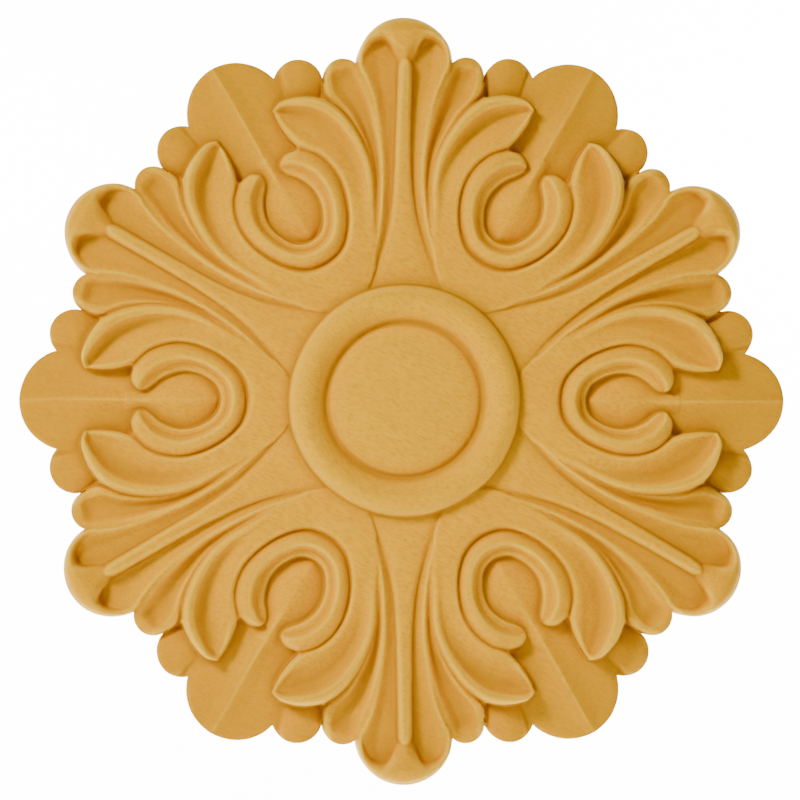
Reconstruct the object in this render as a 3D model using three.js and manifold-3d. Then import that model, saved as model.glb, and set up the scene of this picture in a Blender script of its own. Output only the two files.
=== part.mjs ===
// A round rosette carved from one board of beech, to be fixed flat to a wall, a ceiling or a piece of furniture.
// Six leaves alternate with six scrolls round a turned boss, and the outline is scalloped.
// Millimetres, +Z up. The flat back lies on the plane y = 0, the origin is its centre, and the carving faces -Y.
import * as THREE from "three";
import { mergeVertices } from "three/addons/utils/BufferGeometryUtils.js";
import Module from "manifold-3d";

// Driving sizes of the board, of the repeat and of the line left by the cutting tool between two strips.
const diameter = 250;
const thickness = 25;
const repeats = 6;
const toolLine = 0.6;

// The carver's pattern below is drawn at full size for one board, and is scaled to the driving sizes.

// The turned boss: a domed button, a groove and a rounded ring, as [radius, height] from the middle outwards.
const boss = {
  sides: 36,
  profile: [
    [0, 23.4],
    [12, 23],
    [20, 22.1],
    [24.4, 19.8],
    [25.5, 19.8],
    [27.4, 22.2],
    [30, 24.3],
    [32.6, 25],
    [35.4, 24.2],
    [37, 22.2],
    [37.6, 19],
  ],
};

// The outline of half a repeat is a chain of round scallops, from the middle of a leaf to the middle of a scroll.
// Each has its centre, its radius, the height of its rim from its start to its end, and a count of flat sides.
const scallops = [
  { x: 0, y: 109.1, radius: 15.9, rim: [12, 10.5], sides: 6 },
  { x: 20, y: 105.4, radius: 6.5, rim: [9.6, 8.8], sides: 4 },
  { x: 34.5, y: 103.2, radius: 8.4, rim: [7.2, 6.8], sides: 6 },
  { x: 54.15, y: 93.79, radius: 16.7, rim: [7.2, 8.4], sides: 7 },
];

// The pattern reaches as far out as its leaf tips, and stands as high as the ring of its boss.
const patternRadius = scallops[0].y + scallops[0].radius;
const patternThickness = Math.max(...boss.profile.map(([, height]) => height));
const planScale = diameter / 2 / patternRadius;
const riseScale = thickness / patternThickness;

// The tool is as wide on a board of any diameter, so the pattern has its line at the board's scale.
const patternLine = toolLine / planScale;

// Each strip of carving runs between two rails, from its foot to its tip. Each row of its rails holds a place on
// the left rail and one on the right rail. columns holds a share of the way across, and then the height there at
// even stages of the strip. halfWidths stands for the rails of a strip that lies across its middle line.

// The long rib up the middle of a leaf.
const rib = {
  halfWidths: [
    [11, 33],
    [10.9, 37],
    [9.4, 40.9],
    [7.6, 45.8],
    [6.1, 50.7],
    [4.6, 56.3],
    [3.5, 62.2],
    [2.4, 73.6],
    [2.1, 86],
    [1.9, 100],
    [1.9, 111],
  ],
  columns: [
    [0, [18.9, 18.2, 17.7, 17, 16.3]],
    [0.5, [19.6, 19, 18.5, 17.8, 17.2]],
    [1, [18.9, 18.2, 17.7, 17, 16.3]],
  ],
  steps: 8,
};

// The side of a leaf, from the groove beside the rib out to the crest that bounds the flute.
const leafSide = {
  rails: [
    [11.5, 33.2, 12.3, 33.9],
    [10.4, 41.2, 11, 41.8],
    [8.6, 45.8, 9.6, 46.3],
    [7.1, 51, 8.4, 51.7],
    [5.7, 56.3, 7.4, 56.9],
    [4.5, 62.2, 6.7, 62.5],
    [3.7, 67.1, 6.4, 67.4],
    [3.3, 73.6, 6.3, 74],
    [3, 81.8, 6.8, 81.8],
    [2.9, 91.6, 8.3, 91.6],
    [2.8, 99.8, 10.7, 100.1],
    [2.8, 105.4, 12.2, 105.2],
    [2.8, 108.8, 11.6, 108.8],
    [3.3, 111.6, 10.2, 111.8],
    [5, 113.2, 8.4, 113.6],
  ],
  columns: [
    [0, [18, 16.4, 15, 13.6, 12.2, 11.2]],
    [0.25, [18.4, 17.1, 15.4, 13.4, 11.6, 11]],
    [0.6, [18.9, 18.2, 16.6, 14.2, 11.6, 11]],
    [1, [19.4, 19.2, 18.4, 16.8, 14.8, 11.6]],
  ],
  steps: 11,
};

// The curled tip of a leaf: a rolled cap with a lower inner edge, from the middle line round to the side.
const cap = {
  rails: [
    [0, 111.6, 0, 124.5],
    [2.9, 112.9, 5.3, 123.6],
    [5.9, 114.8, 9.9, 121],
    [8.9, 114.8, 13.2, 117.2],
    [11.1, 112.5, 14.9, 112.4],
    [12.3, 109.3, 14.8, 109],
    [12.9, 106.2, 13.8, 106.1],
  ],
  columns: [
    [0, [17, 11.1, 11, 13.2]],
    [0.25, [17.3, 12.3, 12.2, 14.4]],
    [0.6, [17.9, 16.1, 15.3, 15.2]],
    [0.84, [16.4, 15, 14.2, 14.2]],
    [1, [12.6, 12, 11.8, 12.2]],
  ],
  steps: 6,
};

// The flute between a leaf and a scroll: a spoon-shaped hollow with a crest on either side.
const flute = {
  rails: [
    [7.7, 56, 8.4, 56.3],
    [7, 62.5, 9.1, 62.9],
    [6.7, 67.1, 9.1, 67.4],
    [6.6, 73.6, 9.8, 74],
    [7, 80.8, 11.8, 81.2],
    [8.1, 87.7, 15.1, 87.4],
    [9.7, 95.9, 19.6, 93.3],
    [12.3, 102.8, 25.3, 99.9],
    [15.4, 108, 25.9, 104.7],
    [16.6, 110.2, 24.6, 108.4],
    [18.3, 111.2, 21.9, 111],
  ],
  columns: [
    [0, [19, 18.4, 17.6, 16.6, 14.2, 11.4]],
    [0.22, [18.8, 17.4, 15.8, 13.8, 11.8, 11.2]],
    [0.5, [18.6, 16.6, 14.4, 12.4, 11, 11.2]],
    [0.84, [18.4, 17, 16, 15, 13.4, 11.2]],
    [1, [17.8, 15.8, 13.6, 11.6, 10.2, 10]],
  ],
  steps: 8,
};

// The small dome that shows between the flute, the scroll and the petal, from the scroll out to the outline.
const lobe = {
  rails: [
    [28.2, 100.8, 37, 100.2],
    [27.3, 103.6, 38.8, 102.6],
    [28.3, 107.2, 39.2, 105.8],
    [31, 110, 37.4, 109.8],
  ],
  columns: [
    [0, [8, 8, 7.9, 7.6]],
    [0.3, [9.2, 9.3, 9, 8.1]],
    [0.7, [9.2, 9.2, 8.9, 8]],
    [1, [7.4, 7.3, 7.2, 7.1]],
  ],
  steps: 3,
};

// The outer band of a scroll: smooth at its foot by the boss, and dished behind a raised rim at its tip. Its left
// rail is the groove round the bead, and its right rail the foot of the rim.
const band = {
  rails: [
    [0, 50.9, 0, 34.7],
    [6.5, 52.4, 8.6, 38],
    [13.4, 58.7, 17.2, 48.2],
    [16.1, 63.7, 22.6, 58.4],
    [17.7, 68.8, 26.4, 64.9],
    [18.1, 73.8, 29.2, 71.5],
    [17.2, 78.9, 30.4, 78.4],
    [15.5, 82.8, 30.4, 85.5],
    [13.1, 85.7, 28.9, 92.7],
    [11.4, 87.9, 25.6, 98.4],
    [10.3, 90.6, 21.4, 101.7],
    [9.8, 93.9, 17.5, 103.4],
    [9.6, 97.5, 13.7, 104],
    [9.5, 100.8, 9.8, 102.9],
  ],
  columns: [
    [0, [17, 16.8, 16, 15.4, 15, 15.2]],
    [0.1, [19.4, 18.9, 17.9, 17.2, 16.6, 16]],
    [0.38, [20, 19, 16.8, 15.4, 14.8, 15.2]],
    [0.66, [20, 18.9, 15.9, 14.2, 14, 14.9]],
    [0.84, [19.8, 19.2, 18.9, 19.2, 18.7, 17]],
    [1, [19.4, 18.8, 17, 15.6, 14.8, 14.8]],
  ],
  steps: 12,
};

// The horseshoe bead inside the band, whose left rail is its inner edge.
const bead = {
  rails: [
    [0, 59.6, 0, 50.9],
    [4.6, 61.4, 6.5, 52.4],
    [7.2, 64.6, 13.4, 58.7],
    [8.6, 68.4, 16.9, 66.1],
    [8.9, 71.7, 18.1, 72.6],
    [8, 75.6, 16.9, 80],
    [6.4, 78.7, 14.1, 84.8],
    [4.5, 81.3, 10.3, 87.1],
    [3.5, 83.3, 6.4, 87.3],
    [3.5, 84.6, 4, 86.1],
  ],
  columns: [
    [0, [14.4, 14.2, 13.9, 13]],
    [0.24, [16.6, 16.4, 15.9, 14.2]],
    [0.54, [20.6, 20.2, 19.2, 16.3]],
    [0.8, [19.6, 19.2, 18.3, 15.8]],
    [1, [16.8, 16.4, 15.6, 13.6]],
  ],
  steps: 10,
};

// The petal under a scroll, a shallow gable from the outline in to the tips of the band.
const petal = {
  halfWidths: [
    [3.4, 124],
    [8.6, 121.8],
    [13, 117.8],
    [15.5, 113],
    [16, 108.3],
    [15, 105.4],
  ],
  columns: [
    [0, [8, 8, 8.6]],
    [0.5, [9.2, 10.7, 12.2]],
    [1, [8, 8, 8.6]],
  ],
  steps: 4,
};

// The stem that runs in from the petal between the tips of the horseshoe, and the egg that it ends in.
const stem = {
  halfWidths: [
    [9, 104.8],
    [8.8, 97.5],
    [9, 91],
    [6.4, 88.6],
    [3, 87],
    [2.6, 84.6],
    [2.8, 83],
    [4, 80.8],
    [5.9, 78.2],
    [7.4, 75.2],
    [8.2, 71.6],
    [7.9, 68.5],
    [6.6, 65],
    [4.1, 62.2],
    [1.3, 60.5],
  ],
  columns: [
    [0, [9.2, 11.4, 12.4, 12.8, 12.6]],
    [0.25, [10.8, 13, 14.2, 14.9, 13.2]],
    [0.5, [12.2, 14, 15.4, 16.2, 13.4]],
    [0.75, [10.8, 13, 14.2, 14.9, 13.2]],
    [1, [9.2, 11.4, 12.4, 12.8, 12.6]],
  ],
  steps: 13,
};

const wood = new THREE.MeshStandardMaterial({ name: "beech", color: 0xe3ac45, roughness: 0.5, metalness: 0 });

const lastOf = (list) => list[list.length - 1];

// A strip whose middle line is x = 0, across which its width lies.
const acrossMiddle = ({ halfWidths, columns, steps }) => ({
  rails: halfWidths.map(([half, y]) => [-half, y, half, y]),
  columns,
  steps,
});

// A strip seen in a mirror on the line x = 0.
const mirrored = ({ rails, columns, steps }) => ({
  rails: rails.map(([x1, y1, x2, y2]) => [-x2, y2, -x1, y1]),
  columns: columns.map(([across, heights]) => [1 - across, heights]).reverse(),
  steps,
});

// A strip that begins on the line x = 0 and goes both ways from it, as a horseshoe does.
const bothWays = ({ rails, columns, steps }) => ({
  rails: [...rails.slice(1).reverse().map(([x1, y1, x2, y2]) => [-x1, y1, -x2, y2]), ...rails],
  columns: columns.map(([across, heights]) => [across, [...heights.slice(1).reverse(), ...heights]]),
  steps: 2 * steps,
});

// The carved top of a strip as a sheet: its points, its triangles, and its edge as a loop of point numbers.
function stripSheet({ rails, columns, steps }) {
  const left = new THREE.SplineCurve(rails.map(([x, y]) => new THREE.Vector2(x, y)));
  const right = new THREE.SplineCurve(rails.map((row) => new THREE.Vector2(row[2], row[3])));
  const heightCurves = columns.map(
    ([, heights]) => new THREE.SplineCurve(heights.map((z, i) => new THREE.Vector2(i, z))),
  );
  const wide = columns.length;
  const points = [];
  const triangles = [];
  for (let row = 0; row <= steps; row++) {
    const along = row / steps;
    const leftEnd = left.getPoint(along);
    const rightEnd = right.getPoint(along);
    const margin = Math.min(0.25, patternLine / 2 / leftEnd.distanceTo(rightEnd));
    columns.forEach(([across], column) => {
      const place = leftEnd.clone().lerp(rightEnd, margin + across * (1 - 2 * margin));
      points.push(new THREE.Vector3(place.x, place.y, heightCurves[column].getPoint(along).y));
    });
  }
  for (let row = 0; row < steps; row++) {
    for (let column = 0; column < wide - 1; column++) {
      const a = row * wide + column;
      const b = a + 1;
      const c = a + wide;
      const d = b + wide;
      triangles.push([a, b, d], [a, d, c]);
    }
  }
  const rows = Array.from({ length: steps + 1 }, (_, row) => row * wide);
  const foot = Array.from({ length: wide }, (_, column) => column);
  const loop = [
    ...foot,
    ...rows.slice(1).map((start) => start + wide - 1),
    ...foot.slice(0, -1).reverse().map((column) => steps * wide + column),
    ...rows.slice(1, -1).reverse(),
  ];
  return { points, triangles, loop };
}

// Where two scallops cross, on the outer side.
function crossing(first, second) {
  const a = new THREE.Vector2(first.x, first.y);
  const b = new THREE.Vector2(second.x, second.y);
  const apart = a.distanceTo(b);
  const along = (first.radius ** 2 - second.radius ** 2 + apart ** 2) / (2 * apart);
  const aside = Math.sqrt(first.radius ** 2 - along ** 2);
  const unit = b.sub(a).divideScalar(apart);
  return new THREE.Vector2(a.x + unit.x * along - unit.y * aside, a.y + unit.y * along + unit.x * aside);
}

// The rim of half a repeat, from the middle of a leaf to the middle of a scroll.
function rimOfHalf() {
  const leafTip = scallops[0];
  const scrollTip = lastOf(scallops);
  const ends = [
    new THREE.Vector2(0, leafTip.y + leafTip.radius),
    ...scallops.slice(1).map((scallop, i) => crossing(scallops[i], scallop)),
    new THREE.Vector2(scrollTip.x, scrollTip.y).setLength(patternRadius),
  ];
  return scallops.flatMap(({ x, y, radius, rim, sides }, i) => {
    const from = Math.atan2(ends[i].y - y, ends[i].x - x);
    const to = Math.atan2(ends[i + 1].y - y, ends[i + 1].x - x);
    return Array.from({ length: sides }, (_, k) => {
      const angle = THREE.MathUtils.lerp(from, to, k / sides);
      const height = THREE.MathUtils.lerp(rim[0], rim[1], k / sides);
      return new THREE.Vector3(x + radius * Math.cos(angle), y + radius * Math.sin(angle), height);
    });
  });
}

const upright = new THREE.Vector3(0, 0, 1);
const turnedBy = (points, angle) => points.map((point) => point.clone().applyAxisAngle(upright, angle));

// The rim of the whole board, anticlockwise.
function wholeRim() {
  const half = rimOfHalf();
  const pitch = (2 * Math.PI) / repeats;
  const { x, y, rim } = lastOf(scallops);
  const scrollRim = new THREE.Vector3(x, y, 0).setLength(patternRadius).setZ(rim[1]);
  const otherHalf = half.slice(1).map((point) => new THREE.Vector3(-point.x, point.y, point.z));
  const repeat = [scrollRim, ...half.slice(1).reverse(), half[0], ...otherHalf];
  return Array.from({ length: repeats }, (_, i) => turnedBy(repeat, i * pitch)).flat();
}

// Every strip of the carving, placed round the boss.
function allStrips() {
  const pitch = (2 * Math.PI) / repeats;
  const leaf = [
    acrossMiddle(rib),
    bothWays(cap),
    ...[leafSide, flute, lobe].flatMap((strip) => [strip, mirrored(strip)]),
  ].map(stripSheet);
  const scroll = [acrossMiddle(petal), acrossMiddle(stem), bothWays(band), bothWays(bead)].map(stripSheet);
  const placed = (sheet, angle) => ({ ...sheet, points: turnedBy(sheet.points, angle) });
  return Array.from({ length: repeats }, (_, i) => [
    ...leaf.map((sheet) => placed(sheet, i * pitch)),
    ...scroll.map((sheet) => placed(sheet, (i + 0.5) * pitch)),
  ]).flat();
}

// The carved board as one closed geometry: strips, the tool lines between them, the rim wall and the flat back.
function boardGeometry() {
  const strips = allStrips();
  const rim = wholeRim();
  const points = [...rim];
  const triangles = [];
  const holes = strips.map(({ points: stripPoints, triangles: stripTriangles, loop }) => {
    const start = points.length;
    points.push(...stripPoints);
    triangles.push(...stripTriangles.map((corners) => corners.map((corner) => corner + start)));
    return loop.map((corner) => corner + start);
  });
  const rimLoop = rim.map((_, i) => i);
  const order = [...rimLoop, ...holes.flat()];
  const flat = (corner) => new THREE.Vector2(points[corner].x, points[corner].y);
  const ground = THREE.ShapeUtils.triangulateShape(rimLoop.map(flat), holes.map((loop) => loop.map(flat)));
  triangles.push(...ground.map((corners) => corners.map((corner) => order[corner])));
  const facingUp = triangles.map(([a, b, c]) => {
    const area = flat(b).sub(flat(a)).cross(flat(c).sub(flat(a)));
    return area > 0 ? [a, b, c] : [a, c, b];
  });
  const below = points.length;
  const middle = below + rim.length;
  points.push(...rim.map(({ x, y }) => new THREE.Vector3(x, y, 0)), new THREE.Vector3());
  rimLoop.forEach((here) => {
    const next = (here + 1) % rim.length;
    facingUp.push([here, below + here, below + next], [here, below + next, next]);
    facingUp.push([middle, below + next, below + here]);
  });
  const geometry = new THREE.BufferGeometry();
  const scaled = points.flatMap(({ x, y, z }) => [x * planScale, y * planScale, z * riseScale]);
  geometry.setAttribute("position", new THREE.BufferAttribute(new Float32Array(scaled), 3));
  geometry.setIndex(facingUp.flat());
  return geometry;
}

// The turned boss, closed down to the flat back.
function bossGeometry() {
  const points = boss.profile.map(([r, z]) => new THREE.Vector2(r * planScale, z * riseScale));
  points.push(new THREE.Vector2(lastOf(points).x, 0), new THREE.Vector2(0, 0));
  return new THREE.LatheGeometry(points.reverse(), boss.sides).rotateX(Math.PI / 2);
}

const wasm = await Module();
wasm.setup();

// A closed three.js geometry as a solid that can be joined.
function solidOf(geometry) {
  const bare = geometry.clone();
  bare.deleteAttribute("normal");
  bare.deleteAttribute("uv");
  const merged = mergeVertices(bare, 1e-4);
  return new wasm.Manifold(
    new wasm.Mesh({
      numProp: 3,
      vertProperties: merged.attributes.position.array,
      triVerts: new Uint32Array(merged.index.array),
    }),
  );
}

// A solid back as a three.js geometry.
function geometryOf(solid) {
  const mesh = solid.getMesh();
  const geometry = new THREE.BufferGeometry();
  geometry.setAttribute("position", new THREE.BufferAttribute(new Float32Array(mesh.vertProperties), 3));
  geometry.setIndex(new THREE.BufferAttribute(new Uint32Array(mesh.triVerts), 1));
  geometry.computeVertexNormals();
  return geometry;
}

const rosette = new THREE.Mesh(geometryOf(solidOf(boardGeometry()).add(solidOf(bossGeometry()))), wood);
rosette.name = "rosette";
rosette.rotation.x = Math.PI / 2;

const part = new THREE.Group();
part.add(rosette);

export default part;
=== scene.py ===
"""Dresses the carved beech rosette and sets it in a plain pale studio.

The carving is worked out as a map of heights over one twelfth of the rosette, from the middle of a leaf
to the middle of a scroll. It is laid on a grid, trimmed, mirrored and copied round the boss, and dressed
as satin beech.
"""
import logging
import math
from dataclasses import dataclass
from enum import Enum

import bpy
import numpy as np
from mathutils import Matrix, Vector


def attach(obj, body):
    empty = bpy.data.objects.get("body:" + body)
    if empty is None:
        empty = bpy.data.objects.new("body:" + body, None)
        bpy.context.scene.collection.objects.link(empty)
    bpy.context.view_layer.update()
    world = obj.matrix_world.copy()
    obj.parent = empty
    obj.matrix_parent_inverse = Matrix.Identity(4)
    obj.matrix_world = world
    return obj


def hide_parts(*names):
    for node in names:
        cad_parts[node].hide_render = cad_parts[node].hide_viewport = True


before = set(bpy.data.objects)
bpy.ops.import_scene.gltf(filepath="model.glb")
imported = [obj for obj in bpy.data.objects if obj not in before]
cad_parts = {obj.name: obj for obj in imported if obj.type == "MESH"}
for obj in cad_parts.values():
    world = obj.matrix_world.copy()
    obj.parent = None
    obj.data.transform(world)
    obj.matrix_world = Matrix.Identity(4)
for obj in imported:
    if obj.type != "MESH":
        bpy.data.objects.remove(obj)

log = logging.getLogger("rosette")

MM = 0.001
REPEATS = 6
HALF_PITCH = math.pi / REPEATS
THICKNESS = 25.0
RADIUS = 125.0

# A blur reaches three times its standard deviation.
BLUR_REACH = 3

# The direction in plan that is square to the middle line of the first scroll.
SCROLL_NORMAL = (math.cos(HALF_PITCH), -math.sin(HALF_PITCH))

Rail = tuple[float, float, float, float]
Section = tuple[float, tuple[float, ...]]
Place = tuple[float, float, float]
Colour = tuple[float, float, float]
Limits = tuple[float, float]

# Both rails of a strip that starts on its middle line leave the line squarely.
ACROSS_THE_LINE: Rail = (1.0, 0.0, 1.0, 0.0)


class Line(Enum):
    """The middle line that a strip of carving is drawn from."""

    LEAF = "leaf"
    SCROLL = "scroll"


def spline(rows: np.ndarray, count: int, lengths: np.ndarray, level_start: bool = False) -> np.ndarray:
    """Runs a smooth curve through evenly counted rows, without bend at its free ends.

    Args:
        rows: the rows to pass through, one for each stage.
        count: how many places on the curve are wanted.
        lengths: how long each column's way from one row to the next is.
        level_start: whether the first row lies on a middle line that the curve leaves squarely.

    Returns:
        The values at those places, one row each.
    """
    segments = len(rows) - 1
    slopes = np.diff(rows, axis=0) / lengths
    tangents = np.empty_like(rows)
    shared = slopes[:-1] * lengths[1:] + slopes[1:] * lengths[:-1]
    tangents[1:-1] = shared / (lengths[1:] + lengths[:-1])
    tangents[0] = ACROSS_THE_LINE if level_start else 1.5 * slopes[0] - 0.5 * tangents[1]
    tangents[-1] = 1.5 * slopes[-1] - 0.5 * tangents[-2]
    place = np.linspace(0.0, segments, count)
    start = np.minimum(place.astype(int), segments - 1)
    t = (place - start)[:, None]
    return (
        (2 * t**3 - 3 * t**2 + 1) * rows[start]
        + (t**3 - 2 * t**2 + t) * lengths[start] * tangents[start]
        + (3 * t**2 - 2 * t**3) * rows[start + 1]
        + (t**3 - t**2) * lengths[start] * tangents[start + 1]
    )


def section_curve(shares: np.ndarray, heights: np.ndarray, across: np.ndarray) -> np.ndarray:
    """Runs a smooth section through stated heights without rising above or falling below them.

    Args:
        shares: where the heights stand, as shares of the way across.
        heights: one row of heights for each place along the strip.
        across: the shares at which the section is wanted.

    Returns:
        The heights there, one row for each place along the strip.
    """
    gaps = np.diff(shares)
    slopes = np.diff(heights, axis=1) / gaps
    tangents = np.empty_like(heights)
    tangents[:, 0] = slopes[:, 0]
    tangents[:, -1] = slopes[:, -1]
    left = slopes[:, :-1]
    right = slopes[:, 1:]
    same_way = left * right > 0
    total = np.where(same_way, left + right, 1.0)
    tangents[:, 1:-1] = np.where(same_way, 2 * left * right / total, 0.0)
    piece = np.clip(np.searchsorted(shares, across, side="right") - 1, 0, len(gaps) - 1)
    t = (across - shares[piece]) / gaps[piece]
    width = gaps[piece]
    return (
        (2 * t**3 - 3 * t**2 + 1) * heights[:, piece]
        + (t**3 - 2 * t**2 + t) * width * tangents[:, piece]
        + (3 * t**2 - 2 * t**3) * heights[:, piece + 1]
        + (t**3 - t**2) * width * tangents[:, piece + 1]
    )


@dataclass(frozen=True)
class Strip:
    """A strip of carving between two rails, drawn on one side of its middle line, in millimetres.

    Each row of its rails holds a place on the left rail and one on the right rail. Each section holds a share
    of the way across, and then the height there at even stages of the strip.
    """

    line: Line
    rails: tuple[Rail, ...]
    sections: tuple[Section, ...]

    def surface(self, step: float) -> tuple[np.ndarray, np.ndarray, np.ndarray]:
        """Works out places on the strip close enough together to fill a map.

        Args:
            step: the widest gap wanted between two places.

        Returns:
            The places' x, y and height, where x = 0 is the middle of a leaf.
        """
        rows = np.array(self.rails)
        moves = np.diff(rows, axis=0)
        steps = np.stack([np.hypot(*moves[:, :2].T), np.hypot(*moves[:, 2:].T)], axis=1)
        lengths = np.repeat(steps, 2, axis=1)
        width = np.hypot(rows[:, 2] - rows[:, 0], rows[:, 3] - rows[:, 1]).max()
        from_line = rows[0, 0] == rows[0, 2] == 0.0
        along = spline(rows, int(lengths[:, ::2].sum() / step) + 2, lengths, from_line)
        across = np.linspace(0.0, 1.0, int(width / step) + 2)
        shares = np.array([share for share, _ in self.sections])
        stages = np.array([heights for _, heights in self.sections]).T
        even = np.ones((len(stages) - 1, 1))
        heights = section_curve(shares, spline(stages, len(along), even), across)
        x = along[:, 0:1] + (along[:, 2:3] - along[:, 0:1]) * across
        y = along[:, 1:2] + (along[:, 3:4] - along[:, 1:2]) * across
        if self.line is Line.SCROLL:
            sine = math.sin(HALF_PITCH)
            cosine = math.cos(HALF_PITCH)
            x, y = sine * y - cosine * x, cosine * y + sine * x
        return x.ravel(), y.ravel(), heights.ravel()


RIB = Strip(
    Line.LEAF,
    (
        (0.0, 32.7, 13.7, 32.7),
        (0.0, 37.0, 11.7, 37.0),
        (0.0, 40.9, 9.9, 40.9),
        (0.0, 45.8, 8.0, 45.8),
        (0.0, 50.7, 6.5, 50.7),
        (0.0, 56.3, 5.0, 56.3),
        (0.0, 62.2, 3.9, 62.2),
        (0.0, 73.6, 2.8, 73.6),
        (0.0, 86.0, 2.5, 86.0),
        (0.0, 100.0, 2.3, 100.0),
        (0.0, 107.5, 2.2, 107.5),
        (0.0, 109.6, 2.0, 109.6),
        (0.0, 111.0, 1.2, 111.0),
    ),
    (
        (0.0, (19.6, 19.1, 18.6, 17.9, 17.3)),
        (0.5, (19.5, 19.0, 18.4, 17.7, 17.1)),
        (0.88, (19.1, 18.3, 17.6, 16.6, 15.9)),
        (1.0, (18.7, 17.5, 16.0, 14.4, 13.4)),
    ),
)

LEAF_SIDE = Strip(
    Line.LEAF,
    (
        (13.1, 32.7, 14.0, 33.4),
        (10.5, 41.2, 11.4, 41.6),
        (8.7, 45.8, 9.9, 46.3),
        (7.0, 51.0, 8.6, 51.7),
        (5.6, 56.3, 7.7, 56.9),
        (4.4, 62.2, 7.0, 62.5),
        (3.6, 67.1, 6.7, 67.4),
        (3.1, 73.6, 6.5, 74.0),
        (2.8, 81.8, 7.0, 81.8),
        (2.6, 91.6, 8.5, 91.6),
        (2.5, 99.8, 10.8, 100.1),
        (2.5, 106.3, 13.4, 106.3),
        (2.5, 111.3, 14.6, 110.6),
        (2.5, 116.2, 13.4, 115.8),
        (2.5, 119.0, 9.8, 119.4),
    ),
    (
        (0.0, (18.7, 17.3, 16.2, 14.9, 13.0, 11.6)),
        (0.2, (18.8, 17.7, 16.4, 14.8, 12.5, 11.1)),
        (0.5, (19.0, 18.4, 17.1, 15.2, 12.5, 10.9)),
        (0.78, (19.3, 19.0, 18.2, 16.4, 14.2, 11.0)),
        (0.92, (19.4, 19.2, 18.5, 16.9, 15.1, 11.3)),
        (1.0, (19.4, 19.3, 18.5, 17.0, 15.3, 11.4)),
    ),
)

CAP = Strip(
    Line.LEAF,
    (
        (0.0, 109.0, 0.0, 125.4),
        (2.8, 111.4, 5.4, 124.4),
        (5.8, 115.8, 10.0, 121.8),
        (8.8, 116.2, 13.6, 117.8),
        (11.2, 113.4, 15.6, 112.6),
        (12.2, 109.6, 15.4, 108.8),
        (13.2, 106.2, 14.2, 105.4),
    ),
    (
        (0.0, (15.6, 13.0, 11.0, 10.8, 11.0, 11.8, 13.2)),
        (0.22, (16.2, 14.6, 12.1, 11.9, 12.1, 12.9, 14.2)),
        (0.5, (17.6, 17.2, 15.7, 14.9, 14.7, 14.8, 15.1)),
        (0.63, (17.9, 17.5, 16.4, 15.6, 15.3, 15.2, 15.2)),
        (0.84, (16.4, 16.0, 15.0, 14.4, 14.2, 14.1, 14.2)),
        (1.0, (12.2, 12.0, 11.6, 11.4, 11.4, 11.6, 12.0)),
    ),
)

FLUTE = Strip(
    Line.LEAF,
    (
        (8.0, 52.4, 8.8, 53.3),
        (7.0, 60.5, 9.4, 60.9),
        (6.6, 67.1, 9.4, 67.4),
        (6.5, 73.6, 10.0, 74.0),
        (6.9, 80.8, 12.0, 81.2),
        (7.9, 87.7, 15.3, 87.4),
        (9.5, 95.9, 19.9, 93.3),
        (11.9, 103.2, 25.8, 99.3),
        (13.9, 107.3, 26.5, 103.7),
        (15.6, 110.0, 26.0, 107.0),
        (17.6, 112.6, 23.6, 111.4),
    ),
    (
        (0.0, (19.2, 19.0, 18.5, 17.9, 17.4, 16.9, 16.2, 15.2, 14.0, 12.6, 10.4)),
        (0.13, (19.1, 18.8, 18.3, 17.7, 17.1, 16.5, 15.7, 14.6, 13.5, 12.5, 10.4)),
        (0.36, (18.9, 17.9, 17.0, 15.9, 14.7, 13.4, 12.3, 11.3, 10.6, 12.2, 10.4)),
        (0.54, (18.8, 17.7, 16.7, 15.5, 14.2, 12.9, 11.8, 10.9, 10.3, 12.2, 10.4)),
        (0.68, (18.8, 17.8, 16.9, 15.9, 14.9, 13.9, 12.9, 11.9, 11.0, 12.3, 10.4)),
        (0.81, (18.7, 18.0, 17.3, 16.6, 15.9, 15.2, 14.4, 13.4, 12.4, 12.4, 10.4)),
        (0.92, (18.6, 17.9, 17.1, 16.3, 15.6, 14.9, 14.1, 13.1, 12.1, 12.0, 10.4)),
        (1.0, (18.4, 17.4, 16.2, 14.8, 13.4, 12.2, 11.2, 10.4, 10.0, 10.0, 10.0)),
    ),
)

LOBE = Strip(
    Line.LEAF,
    (
        (27.0, 98.4, 38.9, 98.2),
        (26.3, 102.0, 39.6, 101.0),
        (26.0, 105.6, 40.4, 104.4),
        (27.4, 109.4, 41.0, 107.6),
        (31.0, 112.4, 38.4, 112.0),
    ),
    (
        (0.0, (7.8, 7.8, 7.8, 7.7, 7.5)),
        (0.1, (9.2, 9.3, 9.3, 9.0, 8.2)),
        (0.5, (10.2, 10.6, 10.5, 10.0, 8.8)),
        (0.9, (9.0, 9.2, 9.1, 8.7, 8.0)),
        (1.0, (7.2, 7.2, 7.2, 7.2, 7.2)),
    ),
)

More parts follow.
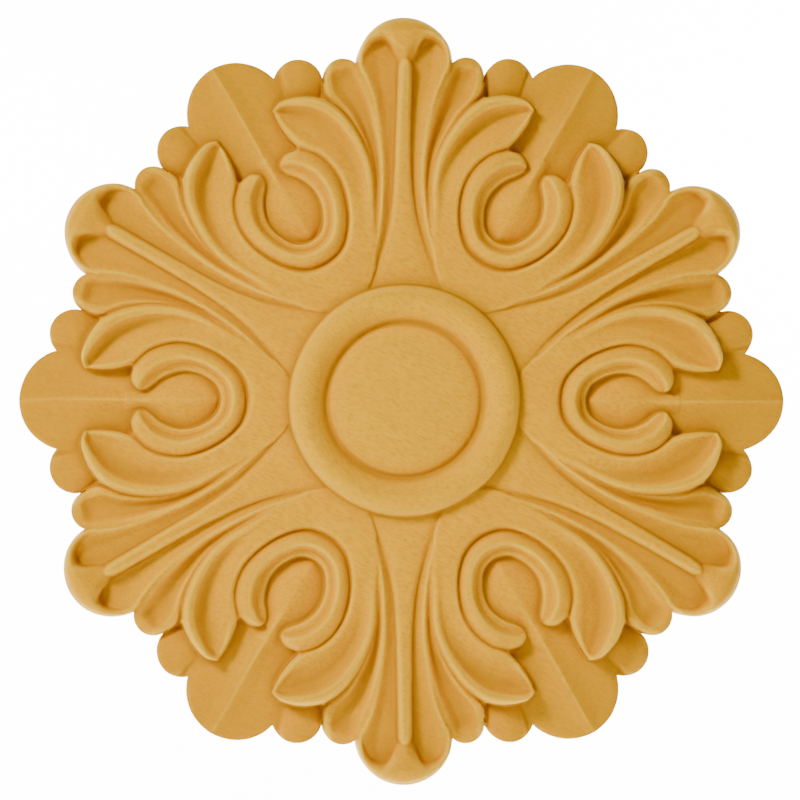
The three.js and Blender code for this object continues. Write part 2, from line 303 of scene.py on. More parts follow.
BAND = Strip(
    Line.SCROLL,
    (
        (0.0, 50.9, 0.0, 34.7),
        (6.5, 52.2, 8.8, 38.0),
        (13.4, 58.7, 17.4, 48.2),
        (16.1, 63.7, 22.9, 58.4),
        (17.7, 68.8, 26.7, 64.8),
        (18.1, 73.8, 29.4, 71.5),
        (17.2, 78.9, 30.6, 78.4),
        (15.5, 82.8, 30.6, 85.5),
        (13.1, 85.7, 29.1, 92.7),
        (11.6, 87.8, 25.7, 98.6),
        (10.7, 90.5, 21.4, 101.9),
        (10.1, 93.9, 17.5, 103.6),
        (9.9, 97.3, 13.9, 104.3),
        (10.1, 100.4, 10.4, 103.1),
    ),
    (
        (0.0, (16.6, 16.4, 15.8, 15.2, 14.8, 15.0)),
        (0.05, (18.4, 18.2, 17.6, 17.2, 16.6, 16.0)),
        (0.12, (19.6, 19.0, 18.0, 17.4, 16.8, 16.0)),
        (0.35, (20.0, 19.0, 16.9, 15.6, 14.9, 15.2)),
        (0.56, (20.0, 18.9, 15.9, 14.0, 13.8, 14.8)),
        (0.67, (19.9, 18.9, 16.3, 15.0, 14.8, 15.3)),
        (0.81, (19.8, 19.2, 18.6, 18.8, 18.4, 17.0)),
        (0.91, (19.7, 19.2, 18.8, 19.1, 18.6, 17.1)),
        (1.0, (19.4, 18.9, 17.0, 15.4, 14.4, 14.6)),
    ),
)

BEAD = Strip(
    Line.SCROLL,
    (
        (0.0, 59.6, 0.0, 50.9),
        (4.6, 61.1, 6.5, 52.2),
        (7.2, 64.6, 13.4, 58.7),
        (8.6, 68.4, 16.9, 66.1),
        (8.9, 71.7, 18.1, 72.6),
        (8.0, 75.6, 16.9, 80.0),
        (6.4, 78.7, 14.1, 84.8),
        (4.3, 81.3, 10.1, 87.5),
        (3.2, 83.3, 6.2, 87.9),
        (3.1, 84.6, 3.8, 86.4),
    ),
    (
        (0.0, (13.0, 12.9, 12.7, 12.4)),
        (0.05, (15.4, 15.2, 14.8, 13.4)),
        (0.12, (16.2, 16.0, 15.6, 14.0)),
        (0.28, (16.8, 16.6, 16.1, 14.4)),
        (0.36, (18.4, 18.1, 17.4, 15.2)),
        (0.52, (20.6, 20.2, 19.2, 16.4)),
        (0.7, (20.2, 19.8, 18.8, 16.2)),
        (0.88, (18.6, 18.2, 17.4, 15.2)),
        (1.0, (16.6, 16.2, 15.4, 13.6)),
    ),
)

PETAL = Strip(
    Line.SCROLL,
    (
        (0.0, 126.0, 3.6, 125.6),
        (0.0, 123.0, 9.4, 123.0),
        (0.0, 118.4, 14.2, 118.4),
        (0.0, 113.3, 16.8, 113.3),
        (0.0, 108.3, 17.2, 108.3),
        (0.0, 104.2, 16.2, 103.0),
        (0.0, 98.0, 15.0, 97.0),
        (0.0, 91.0, 12.0, 90.0),
        (0.0, 86.5, 8.0, 86.0),
    ),
    (
        (0.0, (8.8, 10.6, 12.2, 13.9, 15.1)),
        (0.07, (8.7, 10.15, 11.6, 13.3, 14.5)),
        (0.32, (8.3, 9.0, 10.1, 11.7, 12.8)),
        (0.8, (8.0, 8.3, 9.1, 10.6, 11.8)),
        (1.0, (7.0, 7.2, 8.0, 10.0, 11.4)),
    ),
)

EGG = Strip(
    Line.SCROLL,
    (
        (0.0, 90.0, 5.4, 90.0),
        (0.0, 86.5, 4.4, 86.5),
        (0.0, 84.0, 3.6, 84.0),
        (0.0, 81.0, 4.9, 81.0),
        (0.0, 78.4, 6.9, 78.4),
        (0.0, 75.3, 8.3, 75.3),
        (0.0, 71.3, 9.2, 71.3),
        (0.0, 68.1, 9.0, 68.1),
        (0.0, 65.1, 8.0, 65.1),
        (0.0, 62.5, 6.4, 62.5),
        (0.0, 60.5, 3.9, 60.5),
        (0.0, 59.6, 1.3, 59.6),
    ),
    (
        (0.0, (14.8, 15.6, 17.0, 16.6, 13.4)),
        (0.15, (14.5, 15.3, 16.7, 16.3, 13.4)),
        (0.6, (12.8, 13.7, 14.9, 14.6, 13.0)),
        (0.92, (11.6, 12.6, 13.4, 13.2, 12.6)),
        (1.0, (10.8, 11.8, 12.4, 12.4, 12.2)),
    ),
)

STRIPS = (RIB, LEAF_SIDE, CAP, FLUTE, LOBE, BAND, BEAD, PETAL, EGG)


@dataclass(frozen=True)
class Boss:
    """The turned boss in the middle: a domed button, a groove and a rounded ring.

    Each place on its profile is a radius and a height, in millimetres.
    """

    profile: tuple[tuple[float, float], ...] = (
        (0.0, 23.5),
        (9.0, 23.3),
        (17.0, 22.8),
        (21.5, 22.0),
        (23.8, 21.0),
        (24.6, 19.9),
        (25.2, 19.5),
        (25.8, 19.9),
        (27.2, 21.9),
        (29.6, 24.0),
        (32.5, 25.0),
        (35.2, 24.2),
        (36.8, 22.4),
        (37.5, 20.0),
        (37.8, 17.0),
    )

    def heights(self, radius: np.ndarray) -> np.ndarray:
        """Works out the boss's surface.

        Args:
            radius: distances from the middle.

        Returns:
            The heights there, and zero outside the boss.
        """
        profile = np.array(self.profile)
        inside = section_curve(profile[:, 0], profile[None, :, 1], np.minimum(radius.ravel(), profile[-1, 0]))
        return np.where(radius > profile[-1, 0], 0.0, inside.reshape(radius.shape))


def smoothed(grid: np.ndarray, spread: float) -> np.ndarray:
    """Blurs a grid of values evenly in both directions.

    Args:
        grid: the values.
        spread: the blur's standard deviation, in cells.

    Returns:
        The blurred values.
    """
    reach = max(1, int(math.ceil(BLUR_REACH * spread)))
    offsets = np.arange(-reach, reach + 1)
    weights = np.exp(-0.5 * (offsets / spread) ** 2)
    weights /= weights.sum()
    padded = np.pad(grid, reach, mode="edge")
    rows = sum(w * padded[k : k + grid.shape[0], :] for k, w in enumerate(weights))
    return sum(w * rows[:, k : k + grid.shape[1]] for k, w in enumerate(weights))


@dataclass
class ReliefMap:
    """The heights of the carving over one twelfth of the rosette and a little past it, in millimetres.

    The sanding, the step along a strip and the spread into a gap are counted in cells. Each scallop of the
    outline has the x and y of its centre and its radius.
    """

    cell: float = 0.15
    margin: float = 9.0
    ground: float = 7.0
    foot_radius: float = 107.0
    sanding: float = 2.2
    strip_step: float = 0.45
    gap_spread: float = 0.8
    gap_rounds: int = 60
    least_weight: float = 0.001
    past_outline: float = 1.0
    arris_width: float = 0.9
    arris_depth: float = 0.5
    wall_slope: float = 60.0
    wall_start: float = -4.0
    lowest: float = -3.0
    short_of_edge: float = 1.001
    scallops: tuple[tuple[float, float, float], ...] = (
        (0.0, 109.1, 15.9),
        (20.0, 105.4, 6.5),
        (34.5, 103.2, 8.4),
        (54.15, 93.79, 16.7),
    )

    def __post_init__(self) -> None:
        """Lays out the grid."""
        self.x = np.arange(-self.margin, RADIUS * math.sin(HALF_PITCH) + self.margin, self.cell)
        self.y = np.arange(0.0, RADIUS + self.margin, self.cell)
        self.plan_x, self.plan_y = np.meshgrid(self.x, self.y, indexing="ij")

    def mirrored(self, x: np.ndarray, y: np.ndarray) -> list[tuple[np.ndarray, np.ndarray]]:
        """Gives the places and their images in the leaf's middle line and in the scroll's.

        Args:
            x: the places' x.
            y: the places' y.

        Returns:
            Three pairs of x and y.
        """
        cosine = math.cos(2 * HALF_PITCH)
        sine = math.sin(2 * HALF_PITCH)
        return [(x, y), (-x, y), (-cosine * x + sine * y, sine * x + cosine * y)]

    def strip_heights(self, strip: Strip) -> np.ndarray:
        """Lays one strip on the grid.

        Args:
            strip: the strip of carving.

        Returns:
            Its mean height in each cell, and zero where it doesn't reach.
        """
        x, y, z = strip.surface(self.cell * self.strip_step)
        total = np.zeros(self.plan_x.size)
        count = np.zeros(self.plan_x.size)
        for image_x, image_y in self.mirrored(x, y):
            column = np.rint((image_x - self.x[0]) / self.cell).astype(int)
            row = np.rint((image_y - self.y[0]) / self.cell).astype(int)
            inside = (column >= 0) & (column < len(self.x)) & (row >= 0) & (row < len(self.y))
            place = column[inside] * len(self.y) + row[inside]
            total += np.bincount(place, z[inside], minlength=total.size)
            count += np.bincount(place, minlength=total.size)
        return (total / np.maximum(count, 1)).reshape(self.plan_x.shape)

    def depth_inside(self) -> np.ndarray:
        """Works out how far inside the outline each cell lies.

        Returns:
            The distance to the outline, below zero outside it.
        """
        inside = self.foot_radius - np.hypot(self.plan_x, self.plan_y)
        for x, y, radius in self.scallops:
            for image_x, image_y in self.mirrored(np.array(x), np.array(y)):
                inside = np.maximum(inside, radius - np.hypot(self.plan_x - image_x, self.plan_y - image_y))
        return inside

    def filled(self, heights: np.ndarray) -> np.ndarray:
        """Carries the heights across the narrow gaps between strips, a little further each round.

        Args:
            heights: the map, zero in the gaps.

        Returns:
            The map with its gaps filled.
        """
        known = heights > 0
        carried = heights.copy()
        weight = known.astype(float)
        for _ in range(self.gap_rounds):
            if weight.min() > 0:
                break
            spread_heights = smoothed(carried * weight, self.gap_spread)
            spread_weight = smoothed(weight, self.gap_spread)
            reached = spread_weight > self.least_weight
            mean = spread_heights / np.where(reached, spread_weight, 1.0)
            carried = np.where(known | ~reached, carried, mean)
            weight = np.where(known | reached, 1.0, 0.0)
        return carried

    def tooled(self, boss: Boss) -> np.ndarray:
        """Works out the whole map as the carving tools leave it.

        Args:
            boss: the turned boss in the middle.

        Returns:
            The heights, which run on a little past the outline.
        """
        heights = np.zeros_like(self.plan_x)
        for strip in STRIPS:
            heights = np.maximum(heights, self.strip_heights(strip))
        near = self.depth_inside() > -self.past_outline
        heights = np.where(near, self.filled(heights), 0.0)
        heights = np.maximum(heights, self.ground)
        return np.maximum(heights, boss.heights(np.hypot(self.plan_x, self.plan_y)))

    def sanded(self, tooled: np.ndarray) -> np.ndarray:
        """Softens the map, rounds its outer edge and lets it fall away past the outline.

        Args:
            tooled: the heights as the tools leave them.

        Returns:
            The heights, below zero outside the outline.
        """
        inside = self.depth_inside()
        arris = np.clip(1.0 - inside / self.arris_width, 0.0, 1.0)
        heights = smoothed(tooled - self.arris_depth * arris**2, self.sanding)
        wall = self.wall_start + inside * self.wall_slope
        return np.clip(np.minimum(heights, wall), self.lowest, THICKNESS)

    def sampled(self, grid: np.ndarray, x: np.ndarray, y: np.ndarray) -> np.ndarray:
        """Reads a map between its cells.

        Args:
            grid: the map.
            x: the places' x.
            y: the places' y.

        Returns:
            The values there.
        """
        column = np.clip((x - self.x[0]) / self.cell, 0, len(self.x) - self.short_of_edge)
        row = np.clip((y - self.y[0]) / self.cell, 0, len(self.y) - self.short_of_edge)
        i = column.astype(int)
        j = row.astype(int)
        u = column - i
        v = row - j
        near = grid[i, j] * (1 - v) + grid[i, j + 1] * v
        far = grid[i + 1, j] * (1 - v) + grid[i + 1, j + 1] * v
        return near * (1 - u) + far * u


def set_edit_selection(piece: bpy.types.Object, mode: str) -> None:
    """Makes one object active in edit mode with everything on it selected.

    Args:
        piece: the object to edit.
        mode: VERT, EDGE or FACE.
    """
    bpy.ops.object.select_all(action="DESELECT")
    bpy.context.view_layer.objects.active = piece
    piece.select_set(True)
    bpy.ops.object.mode_set(mode="EDIT")
    bpy.ops.mesh.select_mode(type=mode)
    bpy.ops.mesh.select_all(action="SELECT")


def coordinates(mesh: bpy.types.Mesh) -> np.ndarray:
    """Reads a mesh's vertices.

    Args:
        mesh: the mesh.

    Returns:
        One row of x, y and z for each vertex.
    """
    flat = np.empty(len(mesh.vertices) * 3)
    mesh.vertices.foreach_get("co", flat)
    return flat.reshape(-1, 3)


def move_vertices(mesh: bpy.types.Mesh, places: np.ndarray) -> None:
    """Puts a mesh's vertices at new places.

    Args:
        mesh: the mesh.
        places: one row of x, y and z for each vertex.
    """
    mesh.vertices.foreach_set("co", places.ravel())
    mesh.update()


def triangle_count(mesh: bpy.types.Mesh) -> int:
    """Counts the triangles that a mesh's faces come to.

    Args:
        mesh: the mesh.

    Returns:
        The count.
    """
    return sum(len(face.vertices) - 2 for face in mesh.polygons)


def ranged(
    tree: bpy.types.NodeTree,
    value: bpy.types.NodeSocket,
    limits: Limits,
    most: float = 1.0,
    smooth: bool = True,
) -> bpy.types.NodeSocket:
    """Turns a value into a mask.

    Args:
        tree: the node tree to work in.
        value: the value.
        limits: the value where the mask is zero, and the one where it is highest.
        most: the mask's highest value.
        smooth: whether the mask starts and ends gently.

    Returns:
        The mask.
    """
    node = tree.nodes.new("ShaderNodeMapRange")
    node.interpolation_type = "SMOOTHSTEP" if smooth else "LINEAR"
    node.inputs["From Min"].default_value = limits[0]
    node.inputs["From Max"].default_value = limits[1]
    node.inputs["To Max"].default_value = most
    tree.links.new(value, node.inputs["Value"])
    return node.outputs["Result"]


def mixed(
    tree: bpy.types.NodeTree, under: bpy.types.NodeSocket | Colour, over: Colour, mask: bpy.types.NodeSocket
) -> bpy.types.NodeSocket:
    """Lays one colour over another by a mask.

    Args:
        tree: the node tree to work in.
        under: the colour below, which is fixed or comes from a node.
        over: the colour laid over it.
        mask: how much of the upper colour shows.

    Returns:
        The mixed colour.
    """
    node = tree.nodes.new("ShaderNodeMix")
    node.data_type = "RGBA"
    if isinstance(under, tuple):
        node.inputs["A"].default_value = (*under, 1.0)
    else:
        tree.links.new(under, node.inputs["A"])
    node.inputs["B"].default_value = (*over, 1.0)
    tree.links.new(mask, node.inputs["Factor"])
    return node.outputs["Result"]


def stretched(tree: bpy.types.NodeTree, place: bpy.types.NodeSocket, scale: Place) -> bpy.types.NodeSocket:
    """Scales a place by a fixed amount along each axis.

    Args:
        tree: the node tree to work in.
        place: the place.
        scale: the amount along x, y and z.

    Returns:
        The scaled place.
    """
    node = tree.nodes.new("ShaderNodeVectorMath")
    node.operation = "MULTIPLY"
    node.inputs[1].default_value = scale
    tree.links.new(place, node.inputs[0])
    return node.outputs["Vector"]


def noise(
    tree: bpy.types.NodeTree, place: bpy.types.NodeSocket, detail: float, roughness: float
) -> bpy.types.NodeSocket:
    """Draws soft noise.

    Args:
        tree: the node tree to work in.
        place: the place, scaled so that one unit is about one cycle.
        detail: how many finer layers the noise has.
        roughness: how strong the finer layers are.

    Returns:
        The noise, about a half on average.
    """
    node = tree.nodes.new("ShaderNodeTexNoise")
    node.inputs["Scale"].default_value = 1.0
    node.inputs["Detail"].default_value = detail
    node.inputs["Roughness"].default_value = roughness
    tree.links.new(place, node.inputs["Vector"])
    return node.outputs["Fac"]


class Mask(Enum):
    """What a layer of colour follows over the wood."""

    STREAK = "streaks along the grain"
    PORE = "pores"
    FLECK = "ray flecks"
    FRONT = "the place's Y, lowest on the highest carving, in metres"
    REACH = "the distance from the middle, in metres"
    HOLLOW = "the depth in a hollow, in millimetres"
    CREST = "the rise of a crest, below zero in a tool line, in millimetres"


MaskSockets = dict[Mask, bpy.types.NodeSocket]


@dataclass(frozen=True)
class Layer:
    """A linear colour laid over the wood by a mask, from none of it at the first limit to the most of it."""

    mask: Mask
    colour: Colour
    limits: Limits
    most: float


# Linear colours of the wood: most of it; a darker orange that darkens it towards the rim and paints shade on
# the low carving and in hollows; a paler orange for streaks that also paints highlight on the highest carving;
# painted highlight on crests; painted shade in the tool lines; and rays.
BODY: Colour = (0.90, 0.405, 0.0)
DARK_TONE_AND_SHADE: Colour = (0.58, 0.255, 0.0)
PALE_STREAK_AND_HIGHLIGHT: Colour = (0.93, 0.47, 0.0)
CREST_HIGHLIGHT: Colour = (0.95, 0.55, 0.02)
GROOVE_SHADE: Colour = (0.50, 0.195, 0.0)
RAY: Colour = (0.60, 0.23, 0.0)


@dataclass(frozen=True)
class BeechFinish:
    """Honey-coloured beech under a thin satin finish, with shade and highlight painted into its colour.

    The scales of flecks, streaks and pores are cycles to the metre along, through and across the grain.
    """

    slot: str = "beech"
    body: Colour = BODY
    layers: tuple[Layer, ...] = (
        Layer(Mask.STREAK, PALE_STREAK_AND_HIGHLIGHT, (0.35, 0.75), 0.55),
        # Painted highlight: the highest carving is paler.
        Layer(Mask.FRONT, PALE_STREAK_AND_HIGHLIGHT, (-0.0195, -0.0225), 0.6),
        # Painted shade: the lower carving, further back, is darker.
        Layer(Mask.FRONT, DARK_TONE_AND_SHADE, (-0.016, -0.009), 0.4),
        # Darker towards the rim.
        Layer(Mask.REACH, DARK_TONE_AND_SHADE, (0.055, 0.125), 0.28),
        Layer(Mask.PORE, RAY, (0.40, 0.66), 0.42),
        # Painted shade: darker in the hollows.
        Layer(Mask.HOLLOW, DARK_TONE_AND_SHADE, (0.05, 1.7), 0.8),
        # Painted highlight: paler along the crests.
        Layer(Mask.CREST, CREST_HIGHLIGHT, (0.02, 0.45), 0.8),
        Layer(Mask.FLECK, RAY, (0.0, 1.0), 0.5),
        # Painted shade: dark lines along the tool lines.
        Layer(Mask.CREST, GROOVE_SHADE, (-0.16, -0.7), 0.75),
    )
    grain_turn: float = math.radians(-27.0)
    fleck_scale: Place = (380.0, 1000.0, 1900.0)
    fleck_edge: Limits = (0.48, 0.16)
    fleck_choice: Limits = (0.15, 1.0)
    streak_scale: Place = (9.0, 60.0, 90.0)
    streak_detail: float = 5.0
    streak_roughness: float = 0.6
    pore_scale: Place = (330.0, 2600.0, 2600.0)
    pore_detail: float = 3.0
    pore_roughness: float = 0.5
    pore_strength: float = 0.12
    pore_depth: float = 0.0002
    roughness: float = 0.55
    sheen_level: float = 0.12
    sheen_tint: Colour = (1.0, 0.6, 0.12)

    def figure_group(self) -> bpy.types.NodeTree:
        """Builds the group that draws the wood's own figure: flecks, streaks and pores.

        Returns:
            The group, which takes a place and puts out a fleck mask, a streak value and a pore height.
        """
        group = bpy.data.node_groups.new("beech figure", "ShaderNodeTree")
        group.interface.new_socket(name="Place", in_out="INPUT", socket_type="NodeSocketVector")
        for name, value in (("Grain Turn", self.grain_turn), ("Fleck Size", 1.0)):
            socket = group.interface.new_socket(name=name, in_out="INPUT", socket_type="NodeSocketFloat")
            socket.default_value = value
        for name in ("Fleck", "Streak", "Pore"):
            group.interface.new_socket(name=name, in_out="OUTPUT", socket_type="NodeSocketFloat")
        nodes = group.nodes
        links = group.links
        source = nodes.new("NodeGroupInput")
        result = nodes.new("NodeGroupOutput")
        turned = nodes.new("ShaderNodeVectorRotate")
        turned.rotation_type = "Y_AXIS"
        links.new(source.outputs["Place"], turned.inputs["Vector"])
        links.new(source.outputs["Grain Turn"], turned.inputs["Angle"])
        place = turned.outputs["Vector"]
        cells = nodes.new("ShaderNodeTexVoronoi")
        cells.feature = "F1"
        links.new(stretched(group, place, self.fleck_scale), cells.inputs["Vector"])
        links.new(source.outputs["Fleck Size"], cells.inputs["Scale"])
        chosen = nodes.new("ShaderNodeSeparateColor")
        links.new(cells.outputs["Color"], chosen.inputs["Color"])
        fleck = nodes.new("ShaderNodeMath")
        fleck.operation = "MULTIPLY"
        links.new(ranged(group, cells.outputs["Distance"], self.fleck_edge), fleck.inputs[0])
        links.new(ranged(group, chosen.outputs["Red"], self.fleck_choice, smooth=False), fleck.inputs[1])
        links.new(fleck.outputs["Value"], result.inputs["Fleck"])
        streak_place = stretched(group, place, self.streak_scale)
        streak = noise(group, streak_place, self.streak_detail, self.streak_roughness)
        links.new(streak, result.inputs["Streak"])
        pore_place = stretched(group, place, self.pore_scale)
        pore = noise(group, pore_place, self.pore_detail, self.pore_roughness)
        links.new(pore, result.inputs["Pore"])
        return group

    def masks(
        self, tree: bpy.types.NodeTree, figure: bpy.types.Node, place: bpy.types.NodeSocket
    ) -> MaskSockets:
        """Finds what each layer of colour can follow.

        Args:
            tree: the material's node tree.
            figure: the node that draws the wood's figure.
            place: the place on the piece.

        Returns:
            The value for each mask.
        """
        depth = tree.nodes.new("ShaderNodeSeparateXYZ")
        tree.links.new(place, depth.inputs["Vector"])
        reach = tree.nodes.new("ShaderNodeVectorMath")
        reach.operation = "LENGTH"
        tree.links.new(place, reach.inputs[0])
        found = {
            Mask.STREAK: figure.outputs["Streak"],
            Mask.PORE: figure.outputs["Pore"],
            Mask.FLECK: figure.outputs["Fleck"],
            Mask.FRONT: depth.outputs["Y"],
            Mask.REACH: reach.outputs["Value"],
        }
        for mask, name in ((Mask.HOLLOW, "hollow"), (Mask.CREST, "crest")):
            stored = tree.nodes.new("ShaderNodeAttribute")
            stored.attribute_name = name
            found[mask] = stored.outputs["Fac"]
        return found

    def material(self) -> bpy.types.Material:
        """Builds the finished wood.

        Returns:
            The material, which reads the piece's hollow and crest attributes to paint shade into hollows and
            tool lines and highlight onto crests.
        """
        material = bpy.data.materials.new("satin beech")
        material.use_nodes = True
        tree = material.node_tree
        shader = tree.nodes["Principled BSDF"]
        place = tree.nodes.new("ShaderNodeTexCoord").outputs["Object"]
        figure = tree.nodes.new("ShaderNodeGroup")
        figure.node_tree = self.figure_group()
        tree.links.new(place, figure.inputs["Place"])
        masks = self.masks(tree, figure, place)
        colour = self.body
        for layer in self.layers:
            mask = ranged(tree, masks[layer.mask], layer.limits, layer.most)
            colour = mixed(tree, colour, layer.colour, mask)
        tree.links.new(colour, shader.inputs["Base Color"])
        bump = tree.nodes.new("ShaderNodeBump")
        bump.inputs["Strength"].default_value = self.pore_strength
        bump.inputs["Distance"].default_value = self.pore_depth
        tree.links.new(figure.outputs["Pore"], bump.inputs["Height"])
        tree.links.new(bump.outputs["Normal"], shader.inputs["Normal"])
        shader.inputs["Roughness"].default_value = self.roughness
        shader.inputs["Specular IOR Level"].default_value = self.sheen_level
        shader.inputs["Specular Tint"].default_value = (*self.sheen_tint, 1.0)
        return material


@dataclass
class CarvedRosette:
    """The whole rosette: one board, carved on its front and flat on its back, in millimetres."""

    relief: ReliefMap
    boss: Boss
    finish: BeechFinish
    wedge_triangles: int = 15500
    plane_snap: float = 0.02
    mirror_merge: float = 0.001
    seam_merge: float = 0.004
    smooth_angle: float = math.radians(55.0)
    hollow_widths: tuple[float, float] = (2.6, 4.5)
    wide_hollow_share: float = 0.5
    crest_widths: tuple[float, float] = (0.2, 0.8)
    plain_below: float = 1.0
    wander: float = 0.35
    wander_in_depth: float = 0.6
    wander_waves: int = 6
    wander_length: float = 16.0
    still_rim: float = 1.0
    rim_fade: float = 8.0
    foot_fade: float = 6.0
    seed: int = 7

    def wedge(self) -> bpy.types.Object:
        """Lays the height map on a grid and trims it to one twelfth of the rosette.

        Returns:
            The wedge, in millimetres, with its heights along Z.
        """
        tooled = self.relief.tooled(self.boss)
        heights = self.relief.sanded(tooled)
        x = self.relief.x
        y = self.relief.y
        bpy.ops.object.select_all(action="DESELECT")
        bpy.ops.mesh.primitive_grid_add(x_subdivisions=len(x) - 1, y_subdivisions=len(y) - 1, size=2.0)
        wedge = bpy.context.active_object
        # The new grid runs from -1 to 1 each way.
        flat = coordinates(wedge.data)
        column = np.rint((flat[:, 0] + 1) / 2 * (len(x) - 1)).astype(int)
        row = np.rint((flat[:, 1] + 1) / 2 * (len(y) - 1)).astype(int)
        move_vertices(wedge.data, np.stack([x[column], y[row], heights[column, row]], axis=1))
        set_edit_selection(wedge, "VERT")
        bpy.ops.mesh.bisect(plane_co=(0, 0, 0), plane_no=(1, 0, 0), clear_inner=True)
        bpy.ops.mesh.select_all(action="SELECT")
        bpy.ops.mesh.bisect(plane_co=(0, 0, 0), plane_no=(*SCROLL_NORMAL, 0.0), clear_outer=True)
        bpy.ops.mesh.select_all(action="SELECT")
        bpy.ops.mesh.bisect(plane_co=(0, 0, 0), plane_no=(0, 0, 1), clear_inner=True)
        bpy.ops.object.mode_set(mode="OBJECT")
        self.thin(wedge)
        self.mark(wedge, tooled)
        return wedge

    def thin(self, wedge: bpy.types.Object) -> None:
        """Cuts the wedge's triangles to its share and puts its cut edges back on their planes.

        Args:
            wedge: the wedge, still fine.
        """
        reduce = wedge.modifiers.new("thin", "DECIMATE")
        reduce.ratio = self.wedge_triangles / triangle_count(wedge.data)
        bpy.ops.object.modifier_apply(modifier=reduce.name)
        places = coordinates(wedge.data)
        side = np.array(SCROLL_NORMAL)
        from_scroll = places[:, :2] @ side
        near_scroll = np.abs(from_scroll) < self.plane_snap
        places[near_scroll, :2] -= from_scroll[near_scroll, None] * side
        for axis in (0, 2):
            places[np.abs(places[:, axis]) < self.plane_snap, axis] = 0.0
        move_vertices(wedge.data, places)

    def mark(self, wedge: bpy.types.Object, tooled: np.ndarray) -> None:
        """Stores on the wedge how deep each place lies in a hollow and how far it stands out on a crest.

        Each is the difference between the map and a blurred one, or between two blurs, in millimetres. The
        finish paints shade and highlight by them.

        Args:
            wedge: the wedge.
            tooled: the height map as the tools leave it.
        """
        places = coordinates(wedge.data)
        cell = self.relief.cell
        near, far = (smoothed(tooled, width / cell) - tooled for width in self.hollow_widths)
        narrow, wide = (smoothed(tooled, width / cell) for width in self.crest_widths)
        maps = {"hollow": np.maximum(near, self.wide_hollow_share * far), "crest": narrow - wide}
        for name, grid in maps.items():
            values = self.relief.sampled(grid, places[:, 0], places[:, 1])
            values[places[:, 2] < self.plain_below] = 0.0
            attribute = wedge.data.attributes.new(name, "FLOAT", "POINT")
            attribute.data.foreach_set("value", values)

    def wandering(self, places: np.ndarray) -> np.ndarray:
        """Moves the carving a little, as a hand-held tool does.

        The move fades out towards the tips of the outline, and the back stays in its plane.

        Args:
            places: the vertices, in millimetres.

        Returns:
            Their new places, inside the same box.
        """
        chance = np.random.default_rng(self.seed)
        moved = places.copy()
        from_rim = RADIUS - self.still_rim - np.hypot(places[:, 0], places[:, 1])
        fade = np.clip(from_rim / self.rim_fade, 0.0, 1.0)
        raised = np.clip(places[:, 2] / self.foot_fade, 0.0, 1.0)
        in_depth = self.wander * self.wander_in_depth
        for axis, amount, free in ((0, self.wander, 1.0), (1, self.wander, 1.0), (2, in_depth, raised)):
            shift = np.zeros(len(places))
            for _ in range(self.wander_waves):
                wave = chance.normal(0.0, 1.0 / self.wander_length, 2)
                shift += np.sin(places[:, :2] @ wave + chance.uniform(0, 2 * math.pi))
            moved[:, axis] += amount * shift / math.sqrt(self.wander_waves) * fade * free
        moved[:, 2] = np.clip(moved[:, 2], 0.0, THICKNESS)
        return moved

    def build(self) -> bpy.types.Object:
        """Builds the rosette in its place.

        Returns:
            The finished piece.
        """
        piece = self.wedge()
        piece.name = "rosette_carving"
        piece.data.name = "rosette_carving"
        mirror = piece.modifiers.new("other half", "MIRROR")
        mirror.merge_threshold = self.mirror_merge
        bpy.ops.object.modifier_apply(modifier=mirror.name)
        set_edit_selection(piece, "VERT")
        sweep = 2 * math.pi / REPEATS * (REPEATS - 1)
        bpy.ops.mesh.spin(steps=REPEATS - 1, dupli=True, angle=sweep, center=(0, 0, 0), axis=(0, 0, 1))
        bpy.ops.mesh.select_all(action="SELECT")
        bpy.ops.mesh.remove_doubles(threshold=self.seam_merge)
        bpy.ops.object.mode_set(mode="OBJECT")
        moved = self.wandering(coordinates(piece.data))
        move_vertices(piece.data, np.stack([moved[:, 0], -moved[:, 2], moved[:, 1]], axis=1) * MM)
        set_edit_selection(piece, "EDGE")
        bpy.ops.mesh.select_all(action="DESELECT")
        bpy.ops.mesh.select_non_manifold(extend=False, use_wire=False, use_multi_face=False, use_verts=False)
        bpy.ops.mesh.edge_face_add()
        bpy.ops.mesh.select_all(action="SELECT")
        bpy.ops.mesh.normals_make_consistent(inside=False)
        bpy.ops.object.mode_set(mode="OBJECT")
        bpy.ops.object.shade_smooth_by_angle(angle=self.smooth_angle)
        piece.data.materials.clear()
        piece.data.materials.append(self.finish.material())
        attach(piece, "root")
        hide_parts("rosette")
        return piece


@dataclass(frozen=True)
class Lamp:
    """A soft square light, with its place, its target and its side in metres and its power in watts."""

    name: str
    place: Place
    target: Place
    side: float
    power: float

    def hang(self) -> None:
        """Adds the light, turned to its target."""
        bpy.ops.object.light_add(type="AREA", location=self.place)
        lamp = bpy.context.active_object
        lamp.name = self.name
        lamp.data.size = self.side
        lamp.data.energy = self.power
        lamp.rotation_euler = (Vector(self.target) - Vector(self.place)).to_track_quat("-Z", "Y").to_euler()


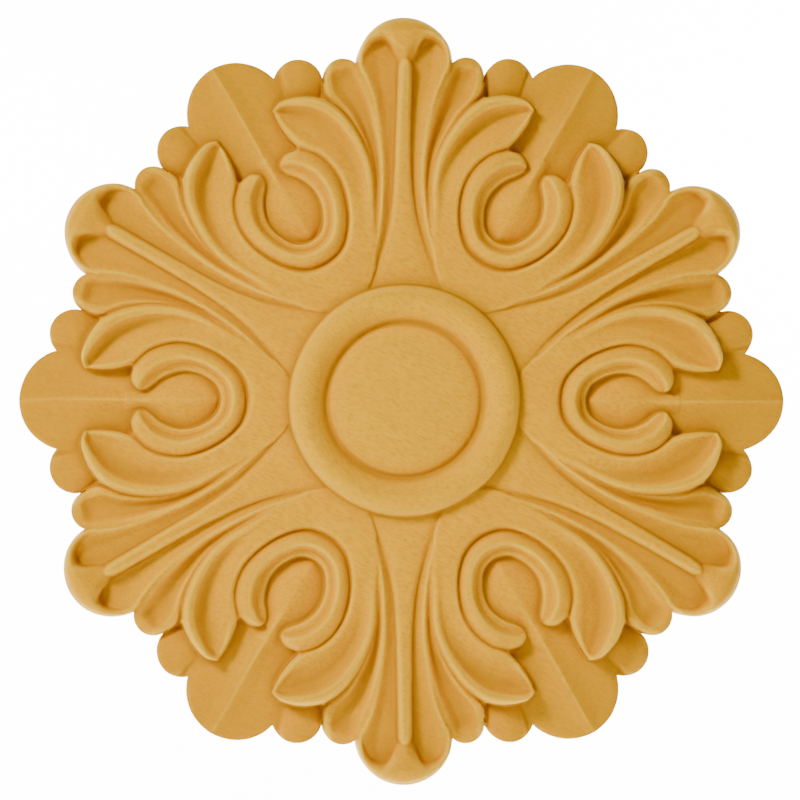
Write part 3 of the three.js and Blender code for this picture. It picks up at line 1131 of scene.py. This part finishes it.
@dataclass
class Studio:
    """The pale floor and backdrop, the soft lights and the camera, in metres, with the lens in millimetres."""

    aim: Place = (-0.001, -0.008, 0.0003)
    azimuth: float = math.radians(-2.8)
    elevation: float = math.radians(-1.0)
    lens: float = 180.0
    seen_width: float = 0.2608
    floor_drop: float = 0.9
    floor_width: float = 10.0
    floor_front: float = -6.0
    backdrop_back: float = 3.2
    backdrop_rise: float = 6.0
    sweep_radius: float = 1.2
    sweep_steps: int = 16
    paper: Colour = (0.9, 0.9, 0.9)
    paper_roughness: float = 0.9
    room: Colour = (1.0, 1.0, 1.0)
    room_strength: float = 0.23

    def paper_material(self) -> bpy.types.Material:
        """Builds the matt paper of the sheet.

        Returns:
            The material.
        """
        material = bpy.data.materials.new("pale paper")
        material.use_nodes = True
        shader = material.node_tree.nodes["Principled BSDF"]
        shader.inputs["Base Color"].default_value = (*self.paper, 1.0)
        shader.inputs["Roughness"].default_value = self.paper_roughness
        return material

    def stage(self) -> None:
        """Makes one pale sheet that is the floor and curves up into the backdrop."""
        bpy.ops.object.select_all(action="DESELECT")
        bpy.ops.mesh.primitive_plane_add(size=self.floor_width, location=(0.0, 0.0, -self.floor_drop))
        sheet = bpy.context.active_object
        sheet.name = "pale_sheet"
        bpy.ops.object.transform_apply(location=True, rotation=True, scale=True)
        places = coordinates(sheet.data)
        places[:, 1] = np.where(places[:, 1] > 0, self.backdrop_back, self.floor_front)
        move_vertices(sheet.data, places)
        set_edit_selection(sheet, "EDGE")
        bpy.ops.mesh.select_all(action="DESELECT")
        bpy.ops.object.mode_set(mode="OBJECT")
        for edge in sheet.data.edges:
            edge.select = all(sheet.data.vertices[corner].co.y > 0 for corner in edge.vertices)
        bpy.ops.object.mode_set(mode="EDIT")
        bpy.ops.mesh.extrude_region_move(TRANSFORM_OT_translate={"value": (0.0, 0.0, self.backdrop_rise)})
        bpy.ops.object.mode_set(mode="OBJECT")
        curve = sheet.modifiers.new("sweep", "BEVEL")
        curve.width = self.sweep_radius
        curve.segments = self.sweep_steps
        curve.limit_method = "ANGLE"
        bpy.ops.object.modifier_apply(modifier=curve.name)
        bpy.ops.object.shade_smooth()
        sheet.data.materials.append(self.paper_material())
        log.info("pale_sheet: stage")

    def lights(self) -> None:
        """Lights the rosette softly from the upper left, with a weaker fill, and lights the backdrop."""
        behind = (0.0, self.backdrop_back, 0.2)
        lamps = [
            Lamp("key", place=(-1.4, -1.7, 1.25), target=self.aim, side=0.5, power=65.0),
            Lamp("fill", place=(1.4, -1.8, 0.2), target=self.aim, side=1.6, power=4.0),
        ]
        for x in (-1.6, 1.6):
            lamps.append(Lamp("backdrop lamp", place=(x, 1.2, 0.6), target=behind, side=1.2, power=640.0))
        for lamp in lamps:
            lamp.hang()
            log.info("%s: light", lamp.name)
        world = bpy.data.worlds.new("pale room")
        world.use_nodes = True
        background = world.node_tree.nodes["Background"]
        background.inputs["Color"].default_value = (*self.room, 1.0)
        background.inputs["Strength"].default_value = self.room_strength
        bpy.context.scene.world = world

    def camera(self) -> None:
        """Stands the camera at the photograph's angle."""
        bpy.ops.object.camera_add()
        camera = bpy.context.active_object
        camera.data.lens = self.lens
        distance = self.seen_width * self.lens / camera.data.sensor_width
        level = math.cos(self.elevation)
        sideways = math.sin(self.azimuth) * level
        forwards = -math.cos(self.azimuth) * level
        back = Vector((sideways, forwards, math.sin(self.elevation)))
        camera.location = Vector(self.aim) + back * distance
        camera.rotation_euler = (-back).to_track_quat("-Z", "Y").to_euler()
        bpy.context.scene.camera = camera

    def build(self) -> None:
        """Sets up the studio."""
        self.camera()
        self.stage()
        self.lights()


def main() -> None:
    """Builds the rosette and the studio."""
    logging.basicConfig(level=logging.INFO, format="%(name)s %(message)s")
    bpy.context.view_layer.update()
    rosette = CarvedRosette(ReliefMap(), Boss(), BeechFinish()).build()
    log.info("%s: %d triangles", rosette.name, triangle_count(rosette.data))
    Studio().build()


if __name__ == "__main__":
    main()
